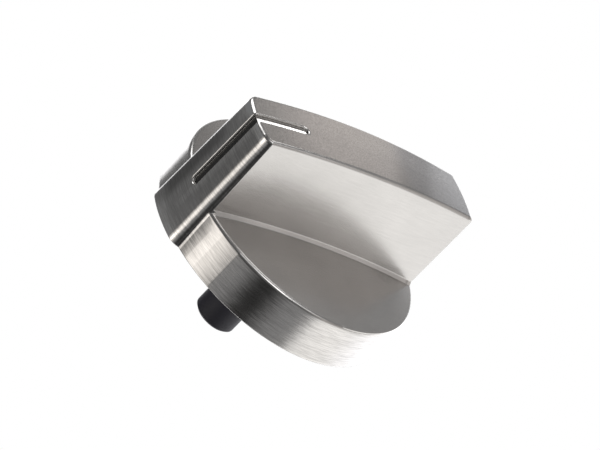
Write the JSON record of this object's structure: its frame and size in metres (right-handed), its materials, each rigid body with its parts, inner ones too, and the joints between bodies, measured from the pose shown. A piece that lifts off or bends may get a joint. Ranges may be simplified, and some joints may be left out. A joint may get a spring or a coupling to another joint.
{
  "type": "stove knob",
  "caption": "Push-on stove knob with a round skirt, a domed face and a bar grip with a pointer groove, pressed over a plastic hub with a flatted shaft bore.",
  "frame": {"origin": "on the shaft's axis, in the plane of the skirt's lower rim, where the shaft's end stops in the bore", "axes": "+Z along the shaft's axis from the panel up to the grip, +Y to the nose that carries the pointer line, +X to the right of someone who faces the panel with the pointer up"},
  "size_m": [0.0602, 0.0618, 0.054],
  "materials": {
    "brushed_shell": "cast, brushed and clear coated",
    "black_plastic": "moulded, fine matte",
    "spring_steel": "rolled strip"
  },
  "bodies": {
    "root": {"knob_shell": "brushed_shell", "hub_insert": "black_plastic", "spring_leaf": "spring_steel"}
  },
  "joints": []
}
